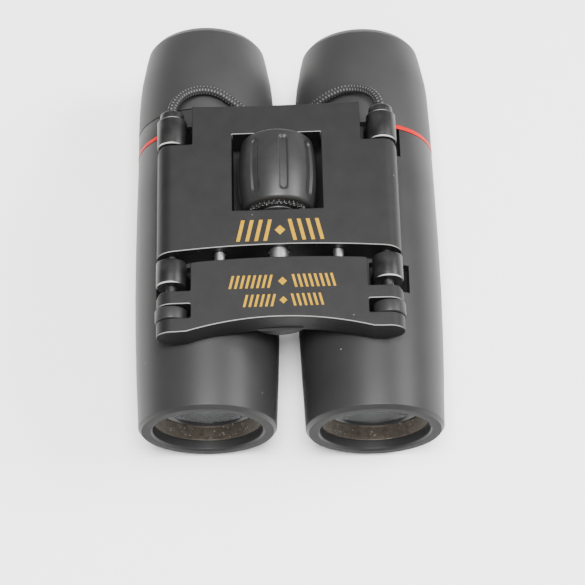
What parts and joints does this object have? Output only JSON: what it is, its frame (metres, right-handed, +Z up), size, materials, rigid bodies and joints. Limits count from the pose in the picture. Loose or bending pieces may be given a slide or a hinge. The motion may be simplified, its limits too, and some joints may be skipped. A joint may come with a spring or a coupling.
{
  "type": "folding pocket binoculars",
  "caption": "Folding pocket binoculars with a double-hinged bridge, centre focus knob, sliding barrels, dioptre eyecup and carrying cord.",
  "frame": {"origin": "middle of the glass on the surface it lies on, below the middle of its box", "axes": "+Y along the barrels towards the eyepieces, +Z up through the bridge, +X towards the barrel on the right when seen from above with the eyepieces at the top"},
  "size_m": [0.0672, 0.0946, 0.0435],
  "materials": {
    "bridge_plastic": "fine-grained matt moulding",
    "hinge_plastic": "satin moulding",
    "soft_touch_black": "soft-touch rubberised paint",
    "eyecup_rubber": "matt soft rubber",
    "knob_plastic": "satin moulding",
    "toothed_metal": "blackened, worn bright on the teeth",
    "rod_steel": "ground steel",
    "rod_blackened": "blackened and oiled",
    "nut_brass": "turned brass",
    "red_trim": "gloss red",
    "ring_bronze": "bronze-brown anodised",
    "inner_black": "matt black",
    "lens_glass": "polished and coated",
    "seal_rubber": "greased",
    "cord_braid": "round nylon braid"
  },
  "bodies": {
    "bridge": {"rear_bridge_plate": "bridge_plastic", "hinge_rods": "rod_blackened", "strap_caps": "hinge_plastic", "neck_cord_left": "cord_braid", "neck_cord_right": "cord_braid", "neck_cord_hank": "cord_braid"},
    "focus_drive": {"knob_grip": "knob_plastic", "knob_toothed_ring": "toothed_metal", "knob_core": "rod_steel", "focus_screw": "rod_steel", "screw_clip": "rod_steel"},
    "front_bridge": {"front_bridge_plate": "bridge_plastic", "focus_nut": "nut_brass", "guide_rods": "rod_steel"},
    "left_tube": {"left_inner_tube": "hinge_plastic", "left_red_ring": "red_trim", "left_collar_sleeve": "soft_touch_black", "left_prism_cage": "inner_black", "left_roof_prism": "lens_glass", "left_half_penta_prism": "lens_glass"},
    "left_eyepiece": {"left_eyepiece_housing": "inner_black", "left_field_lens": "lens_glass", "left_eye_lens": "lens_glass", "left_eyecup": "eyecup_rubber"},
    "left_barrel": {"left_barrel_shell": "soft_touch_black", "left_objective_crown": "lens_glass", "left_objective_flint": "lens_glass", "left_retaining_ring": "ring_bronze", "left_grease_ring": "seal_rubber"},
    "right_tube": {"right_inner_tube": "hinge_plastic", "right_red_ring": "red_trim", "right_prism_cage": "inner_black", "right_roof_prism": "lens_glass", "right_half_penta_prism": "lens_glass", "right_eyepiece_housing": "inner_black", "right_field_lens": "lens_glass", "right_eye_lens": "lens_glass", "right_eyecup": "eyecup_rubber"},
    "right_barrel": {"right_barrel_shell": "soft_touch_black", "right_objective_crown": "lens_glass", "right_objective_flint": "lens_glass", "right_retaining_ring": "ring_bronze", "right_grease_ring": "seal_rubber"}
  },
  "joints": [
    {"name": "focus_turn", "type": "hinge", "parent": "bridge", "child": "focus_drive", "pos_m": [-0.00169, 0.005, 0.03496], "axis": [0, 1, 0], "range_deg": [0, 240]},
    {"name": "front_bridge_slide", "type": "slide", "parent": "bridge", "child": "front_bridge", "axis": [0, -1, 0], "range_m": [0, 0.0016]},
    {"name": "left_swing", "type": "hinge", "parent": "bridge", "child": "left_tube", "pos_m": [-0.02439, 0, 0.03452], "axis": [0, 1, 0], "range_deg": [0, 62]},
    {"name": "right_swing", "type": "hinge", "parent": "bridge", "child": "right_tube", "pos_m": [0.02101, 0, 0.03539], "axis": [0, -1, 0], "range_deg": [0, 52]},
    {"name": "left_barrel_slide", "type": "slide", "parent": "left_tube", "child": "left_barrel", "axis": [0, -1, 0], "range_m": [0, 0.0016]},
    {"name": "right_barrel_slide", "type": "slide", "parent": "right_tube", "child": "right_barrel", "axis": [0, -1, 0], "range_m": [0, 0.0016]},
    {"name": "left_dioptre_turn", "type": "hinge", "parent": "left_tube", "child": "left_eyepiece", "pos_m": [-0.0178, 0.03, 0.0158], "axis": [0, 1, 0], "range_deg": [-60, 60]}
  ],
  "couplings": [
    {"joint": "front_bridge_slide", "follows": "focus_turn", "m_per_rad": 0.00038},
    {"joint": "left_barrel_slide", "follows": "focus_turn", "m_per_rad": 0.00038},
    {"joint": "right_barrel_slide", "follows": "focus_turn", "m_per_rad": 0.00038}
  ]
}
